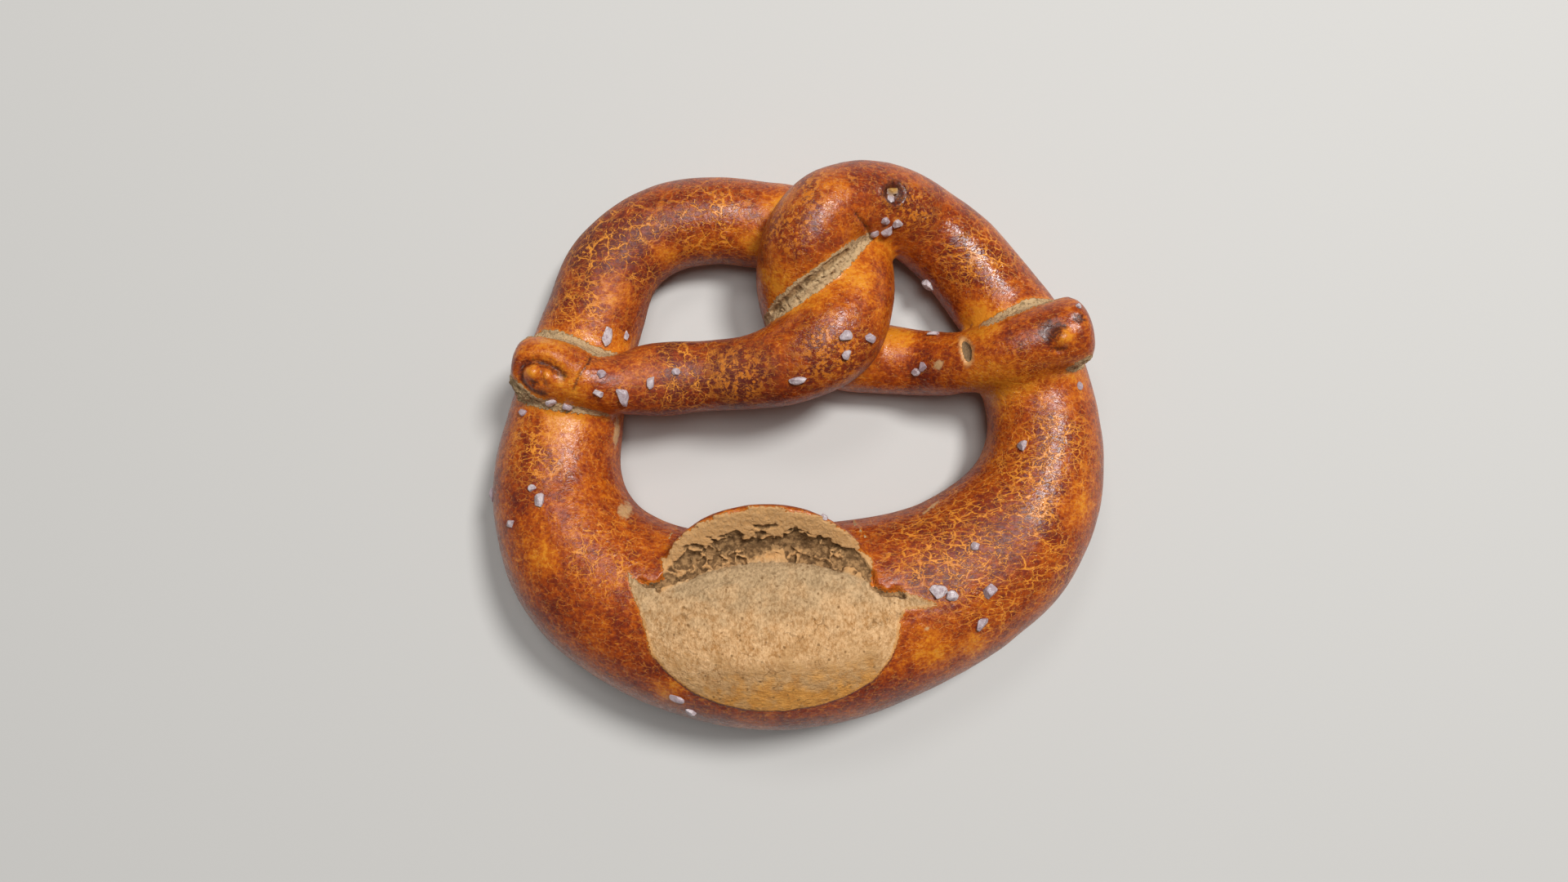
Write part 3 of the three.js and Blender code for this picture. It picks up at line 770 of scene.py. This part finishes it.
class Surface:
    """A material's nodes, with short calls for the ones that the surfaces share."""

    def __init__(self, name):
        self.material = bpy.data.materials.new(name)
        self.material.use_nodes = True
        self.tree = self.material.node_tree
        self.shader = self.tree.nodes["Principled BSDF"]
        place = self.node("ShaderNodeTexCoord").outputs["Object"]
        self.place = self.scale(place, (1 / MM,) * 3)

    def node(self, kind, inputs=None, **settings):
        node = self.tree.nodes.new(kind)
        for key, value in settings.items():
            setattr(node, key, value)
        for name, value in (inputs or {}).items():
            self.put(node.inputs[name], value)
        return node

    def put(self, socket, value):
        if isinstance(value, bpy.types.NodeSocket):
            self.tree.links.new(value, socket)
        else:
            socket.default_value = value

    def scale(self, vector, factors):
        return self.node("ShaderNodeVectorMath", {0: vector, 1: factors}, operation="MULTIPLY").outputs[0]

    def math(self, operation, a, b=0.0, clamp=False):
        return self.node("ShaderNodeMath", {0: a, 1: b}, operation=operation, use_clamp=clamp).outputs[0]

    def field(self, name):
        return self.node("ShaderNodeAttribute", attribute_name=name).outputs["Fac"]

    def noise(self, vector, size, detail=2.0, roughness=0.5, distortion=0.0):
        """Noise with features of the given size in mm, from 0 to 1."""
        inputs = {"Vector": vector, "Scale": 1 / size, "Detail": detail, "Roughness": roughness,
                  "Distortion": distortion}
        return self.node("ShaderNodeTexNoise", inputs).outputs["Fac"]

    def warp(self, vector, size, amount):
        """The vector, pushed about by noise of the given size."""
        noise_node = self.node("ShaderNodeTexNoise", {"Vector": vector, "Scale": 1 / size, "Detail": 3.0})
        push = self.node("ShaderNodeVectorMath", {0: noise_node.outputs["Color"], 1: (0.5,) * 3},
                         operation="SUBTRACT").outputs[0]
        return self.node("ShaderNodeVectorMath", {0: vector, 1: self.scale(push, (amount,) * 3)},
                         operation="ADD").outputs[0]

    def cell_edge(self, vector, size):
        """Distance, in cells, to the edge of a Voronoi cell."""
        inputs = {"Vector": vector, "Scale": 1 / size}
        return self.node("ShaderNodeTexVoronoi", inputs, feature="DISTANCE_TO_EDGE").outputs["Distance"]

    def cell_middle(self, vector, size):
        inputs = {"Vector": vector, "Scale": 1 / size}
        return self.node("ShaderNodeTexVoronoi", inputs, feature="F1").outputs["Distance"]

    def ramp(self, value, low, high, to_low=0.0, to_high=1.0):
        inputs = {"Value": value, "From Min": low, "From Max": high, "To Min": to_low, "To Max": to_high}
        return self.node("ShaderNodeMapRange", inputs, interpolation_type="SMOOTHSTEP").outputs["Result"]

    def mix(self, factor, a, b):
        return self.node("ShaderNodeMix", {0: factor, 6: a, 7: b}, data_type="RGBA").outputs[2]

    def mix_value(self, factor, a, b):
        return self.node("ShaderNodeMix", {0: factor, 2: a, 3: b}, data_type="FLOAT").outputs[0]

    def colours(self, value, stops):
        node = self.node("ShaderNodeValToRGB", {"Fac": value})
        elements = node.color_ramp.elements
        while len(elements) < len(stops):
            elements.new(1.0)
        for element, (position, colour) in zip(elements, stops):
            element.position = position
            element.color = colour
        return node.outputs["Color"]

    def bump(self, height, distance):
        return self.node("ShaderNodeBump", {"Height": height, "Distance": distance * MM}).outputs["Normal"]


def rgb(red, green, blue):
    """A linear colour from the 0 to 255 values of a screen colour."""
    screen = np.array([red, green, blue]) / 255
    linear = np.where(screen <= 0.04045, screen / 12.92, ((screen + 0.055) / 1.055) ** 2.4)
    return (*linear.tolist(), 1.0)


CRUST_STOPS = [
    (0.0, rgb(212, 132, 34)), (0.22, rgb(194, 102, 22)), (0.45, rgb(164, 72, 18)), (0.7, rgb(128, 48, 20)),
    (1.0, rgb(92, 34, 26)),
]
VEIN = rgb(232, 148, 48)
DOT = rgb(208, 120, 32)
CRUMB_DARK_STOPS = [
    (0.0, rgb(150, 121, 84)), (0.5, rgb(176, 124, 68)), (0.78, rgb(170, 124, 74)), (1.0, rgb(190, 124, 50)),
]
CRUMB_LIGHT_STOPS = [
    (0.0, rgb(205, 171, 128)), (0.5, rgb(234, 188, 136)), (0.78, rgb(202, 158, 106)), (1.0, rgb(220, 156, 76)),
]
# painted highlight along the crumb's toasted lower edge, where it stands proud of the crust
CRUMB_EDGE_HIGHLIGHT = rgb(222, 150, 68)
SEAM_PALE = rgb(202, 169, 125)
SEAM_DARK = rgb(130, 104, 70)
CRUMB_SMOOTH = rgb(214, 160, 100)
# painted shade for the crumb's cavities, dark and paler
CAVITY_SHADE_DARK = rgb(98, 70, 40)
CAVITY_SHADE_LIGHT = rgb(166, 128, 84)
SPECK = rgb(120, 84, 44)
SCAR = rgb(204, 166, 116)
WINDOW_FLOOR = rgb(126, 102, 74)
# near black-brown for scorching and for the painted shade in the grooves and pits
DARK_SCORCH_AND_SHADE = rgb(56, 24, 18)
UNDERSIDE = rgb(158, 90, 38)
UNDERSIDE_DARK = rgb(116, 58, 24)


def veins(s, place, size, width, breaks_at):
    """A net of fine broken lines, and the distance to them in cells."""
    edge = s.cell_edge(s.warp(s.warp(place, size, size * 0.6), size * 0.25, size * 0.25), size)
    breaks = s.ramp(s.noise(place, size * 0.8, 2.0), breaks_at - 0.06, breaks_at + 0.06)
    thickness = s.ramp(s.noise(place, size * 1.3, 1.0), 0.3, 0.7, width * 0.5, width * 1.5)
    line = s.ramp(s.math("DIVIDE", edge, thickness), 0.55, 1.2, 1.0, 0.0)
    return s.math("MULTIPLY", line, breaks), edge


def glaze(s):
    """Colour of the glazed crust, from amber to mahogany, and the height of its crackle."""
    wide = s.scale(s.place, (0.42, 1.0, 0.8))
    bake = s.math("ADD", s.field("bake"), s.math("MULTIPLY", s.field("dotted"), 0.25))
    for size, detail, reach in ((9.0, 3.0, 0.12), (2.6, 5.0, 0.15), (0.8, 4.0, 0.15)):
        cloud = s.ramp(s.noise(s.place, size, detail, 0.65), 0.34, 0.66, -reach, reach)
        bake = s.math("ADD", bake, cloud)
    net = 0.0
    crazed, cracked = s.field("crazed"), s.field("cracked")
    for place, size, width, breaks_at, strength in (
            (s.place, 4.6, 0.030, 0.44, cracked), (s.place, 2.0, 0.042, 0.50, cracked),
            (wide, 2.6, 0.032, 0.36, crazed), (wide, 1.2, 0.044, 0.46, s.math("MAXIMUM", crazed, 0.45))):
        lines, edge = veins(s, place, size, width, breaks_at)
        net = s.math("MAXIMUM", net, s.math("MULTIPLY", lines, strength))
        plate = s.ramp(edge, 0.0, 4 * width, -0.05, 0.03)
        bake = s.math("ADD", bake, s.math("MULTIPLY", plate, strength))
    colour = s.colours(bake, CRUST_STOPS)

    scribble = s.math("ABSOLUTE", s.math("SUBTRACT", s.noise(s.warp(s.place, 1.5, 0.9), 1.1, 2.0), 0.5))
    scribble = s.math("MULTIPLY", s.ramp(scribble, 0.0, 0.03, 0.4, 0.0), s.ramp(s.noise(s.place, 5.0), 0.4, 0.6))
    colour = s.mix(scribble, colour, DOT)
    spots = s.ramp(s.cell_middle(s.warp(s.place, 2.0, 0.8), 1.9), 0.16, 0.28, 0.85, 0.0)
    blots = s.ramp(s.noise(s.warp(s.place, 1.0, 0.8), 1.6, 5.0, 0.7), 0.5, 0.57, 0.0, 0.8)
    spots = s.math("MULTIPLY", s.math("MAXIMUM", spots, blots), s.field("dotted"))
    colour = s.mix(spots, colour, DOT)
    colour = s.mix(s.math("MULTIPLY", net, s.ramp(s.noise(s.place, 2.2), 0.35, 0.65, 0.55, 0.9)), colour, VEIN)
    return colour, s.math("SUBTRACT", s.math("MULTIPLY", spots, 0.5), net)


def crust_colour(s, ragged):
    """The glaze with its scars, scorched marks, painted shade in its grooves, and plain underside."""
    colour, crackle = glaze(s)
    soft = s.ramp(ragged, 0.3, 0.7, -0.2, 0.2)
    uneven = s.ramp(s.noise(s.place, 1.4, 4.0, 0.65), 0.3, 0.7, -0.3, 0.3)
    scar = s.ramp(s.math("ADD", s.field("scar"), uneven), 0.3, 1.0, 0.0, 0.75)
    colour = s.mix(scar, colour, SCAR)
    colour = s.mix(s.field("window"), colour, rgb(208, 150, 92))
    # Scorched places, and painted shade in the grooves and pits, in near black-brown.
    colour = s.mix(s.ramp(s.math("ADD", s.field("scorch_and_shade"), soft), 0.1, 0.9, 0.0, 0.9), colour, DARK_SCORCH_AND_SHADE)
    tray = s.mix(s.ramp(s.noise(s.place, 2.5, 4.0, 0.65), 0.35, 0.65), UNDERSIDE, UNDERSIDE_DARK)
    return s.mix(s.field("under"), colour, tray), crackle


def crumb_colour(s, ragged):
    """Torn crumb: pale high on the dome, toasted at its foot, smooth at the lip, with painted shade in its
    cavities and a painted highlight along its lower edge.
    """
    toast = s.math("ADD", s.field("toast"), s.ramp(s.noise(s.place, 5.0, 4.0, 0.65), 0.35, 0.65, -0.12, 0.12))
    tufts = s.noise(s.warp(s.scale(s.place, (1.0, 0.6, 1.0)), 1.5, 0.6), 0.7, 5.0, 0.75)
    streaks = s.noise(s.scale(s.place, (0.4, 1.0, 1.0)), 0.8, 5.0, 0.75)
    fibres = s.mix_value(s.ramp(toast, 0.6, 0.85), tufts, streaks)
    patches = s.ramp(s.noise(s.place, 3.5, 3.0, 0.6), 0.35, 0.65, -0.18, 0.16)
    light = s.math("ADD", s.ramp(fibres, 0.30, 0.68), patches, clamp=True)
    colour = s.mix(light, s.colours(toast, CRUMB_DARK_STOPS), s.colours(toast, CRUMB_LIGHT_STOPS))
    dots = s.ramp(s.cell_middle(s.warp(s.place, 1.0, 0.8), 2.2), 0.08, 0.2, 0.7, 0.0)
    cracks = s.math("MULTIPLY", veins(s, s.place, 6.0, 0.02, 0.56)[0], 0.5)
    colour = s.mix(s.math("MAXIMUM", dots, cracks), colour, SPECK)
    # A painted highlight in bright orange just inside the crumb's toasted lower edge.
    rim = s.math("MULTIPLY", s.ramp(s.field("torn"), 0.3, 0.9, 0.9, 0.0), s.field("toast"))
    colour = s.mix(rim, colour, CRUMB_EDGE_HIGHLIGHT)
    colour = s.mix(s.math("MULTIPLY", s.field("slope"), s.ramp(fibres, 0.3, 0.7, 0.95, 0.6)), colour, CRUMB_SMOOTH)
    seam = s.mix(s.ramp(s.noise(s.place, 1.1, 5.0, 0.7), 0.36, 0.52), SEAM_DARK, SEAM_PALE)
    colour = s.mix(s.math("MULTIPLY", s.field("seam"), 0.85), colour, seam)
    # Painted shade in the cavities, gaps and slit, the darker the deeper they are.
    cavity = s.ramp(s.math("ADD", s.field("hollow"), s.ramp(ragged, 0.3, 0.7, -0.1, 0.1)), 0.08, 0.5, 0.0, 0.95)
    depths = s.mix(s.ramp(s.noise(s.place, 1.6, 4.0, 0.65), 0.4, 0.6), CAVITY_SHADE_DARK, CAVITY_SHADE_LIGHT)
    return s.mix(cavity, colour, depths), fibres


def loaf_material():
    s = Surface("crust")
    ragged = s.noise(s.place, 0.7, 3.0)
    edge = s.math("ADD", s.field("torn"), s.ramp(ragged, 0.25, 0.75, -0.3, 0.3))
    window = s.ramp(s.field("hollow"), 0.2, 0.3)
    torn = s.math("MAXIMUM", s.ramp(edge, -0.06, 0.06), s.math("MULTIPLY", window, s.field("window")))
    crust, crackle = crust_colour(s, ragged)
    # Beside the burst and the tears the crust turns amber; just below the crumb's toasted lower edge it gets a
    # dark line instead, a painted shadow under the crumb that stands proud.
    rim = s.mix(s.ramp(s.field("toast"), 0.5, 0.7), DOT, CRUST_STOPS[-1][1])
    crust = s.mix(s.ramp(edge, -0.7, -0.1, 0.0, 0.6), crust, rim)
    crumb, fibres = crumb_colour(s, ragged)
    crumb = s.mix(s.math("MULTIPLY", s.field("window"), 0.75), crumb, WINDOW_FLOOR)
    s.put(s.shader.inputs["Base Color"], s.mix(torn, crust, crumb))

    s.shader.inputs["Specular IOR Level"].default_value = 0.38
    gloss = s.ramp(s.noise(s.place, 1.2, 3.0, 0.6), 0.3, 0.7, 0.20, 0.36)
    gloss = s.math("ADD", gloss, s.math("MULTIPLY", s.field("side"), 0.3))
    gloss = s.math("ADD", gloss, s.math("MULTIPLY", s.field("dull"), 0.25))
    gloss = s.math("ADD", gloss, s.math("MULTIPLY", s.field("scorch_and_shade"), 0.08))
    s.put(s.shader.inputs["Roughness"], s.mix_value(torn, gloss, 0.95))
    leather = s.math("MULTIPLY", s.noise(s.place, 0.6, 3.0, 0.6), 0.3)
    pimples = s.math("MULTIPLY", s.noise(s.place, 2.0, 2.0), 0.7)
    height = s.math("ADD", s.math("ADD", leather, pimples), s.math("MULTIPLY", crackle, 0.35))
    crumb_height = s.math("ADD", s.math("MULTIPLY", fibres, 0.6), s.math("MULTIPLY", ragged, 0.4))
    height = s.mix_value(torn, s.math("MULTIPLY", height, 0.26), s.math("MULTIPLY", crumb_height, 0.7))
    s.put(s.shader.inputs["Normal"], s.bump(height, 1.0))
    return s.material


def salt_material():
    s = Surface("salt")
    cloud = s.noise(s.place, 0.9, 3.0)
    pale = s.mix(s.field("tint"), rgb(170, 151, 157), rgb(206, 195, 194))
    pale = s.mix(s.ramp(cloud, 0.35, 0.75), pale, rgb(158, 137, 142))
    s.put(s.shader.inputs["Base Color"], s.mix(s.field("stain"), pale, rgb(176, 132, 66)))
    s.put(s.shader.inputs["Roughness"], s.ramp(cloud, 0.3, 0.7, 0.25, 0.5))
    s.shader.inputs["Subsurface Weight"].default_value = 0.3
    s.shader.inputs["Subsurface Radius"].default_value = (0.001, 0.0008, 0.0008)
    s.shader.inputs["Subsurface Scale"].default_value = 1.0
    s.put(s.shader.inputs["Normal"], s.bump(s.noise(s.place, 0.4, 3.0), 0.12))
    return s.material


def floor_material():
    s = Surface("floor")
    s.shader.inputs["Base Color"].default_value = rgb(196, 194, 190)
    s.shader.inputs["Roughness"].default_value = 0.7
    return s.material


# ---------------------------------------------------------------- stage, light and camera

def area_light(name, place, size, power, target=(0.0, 0.0, 0.0)):
    data = bpy.data.lights.new(name, "AREA")
    data.shape = "DISK"
    data.size = size
    data.energy = power
    lamp = bpy.data.objects.new(name, data)
    bpy.context.collection.objects.link(lamp)
    lamp.location = place
    lamp.rotation_euler = (Vector(target) - Vector(place)).to_track_quat("-Z", "Y").to_euler()


def make_stage():
    bpy.ops.mesh.primitive_plane_add(size=6.0, location=(0, 0, -0.0002))
    floor = bpy.context.object
    floor.name = "floor"
    floor.data.materials.append(floor_material())
    area_light("key", (0.60, 0.58, 1.50), 0.42, 24.0)
    area_light("fill", (0.10, 0.30, 2.00), 0.75, 10.6)
    area_light("back", (-0.36, 1.00, 1.65), 0.50, 5.2)
    world = bpy.data.worlds.new("studio")
    world.use_nodes = True
    background = world.node_tree.nodes["Background"]
    background.inputs["Color"].default_value = (1.0, 1.0, 1.0, 1.0)
    background.inputs["Strength"].default_value = 0.10
    bpy.context.scene.world = world


def make_camera():
    data = bpy.data.cameras.new("camera")
    data.sensor_width = 36.0
    data.lens = CAMERA_LENS
    data.clip_start = 0.01
    camera = bpy.data.objects.new("camera", data)
    bpy.context.collection.objects.link(camera)
    camera.location = Vector(CAMERA_AT) * MM
    bpy.context.scene.camera = camera


make_camera()
make_stage()
loaf = make_loaf()
loaf.data.materials.append(loaf_material())
salt = make_salt(loaf)
salt.data.materials.append(salt_material())
for piece in (loaf, salt):
    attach(piece, "root")
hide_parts("pretzel")
bpy.context.scene.view_settings.view_transform = "Standard"
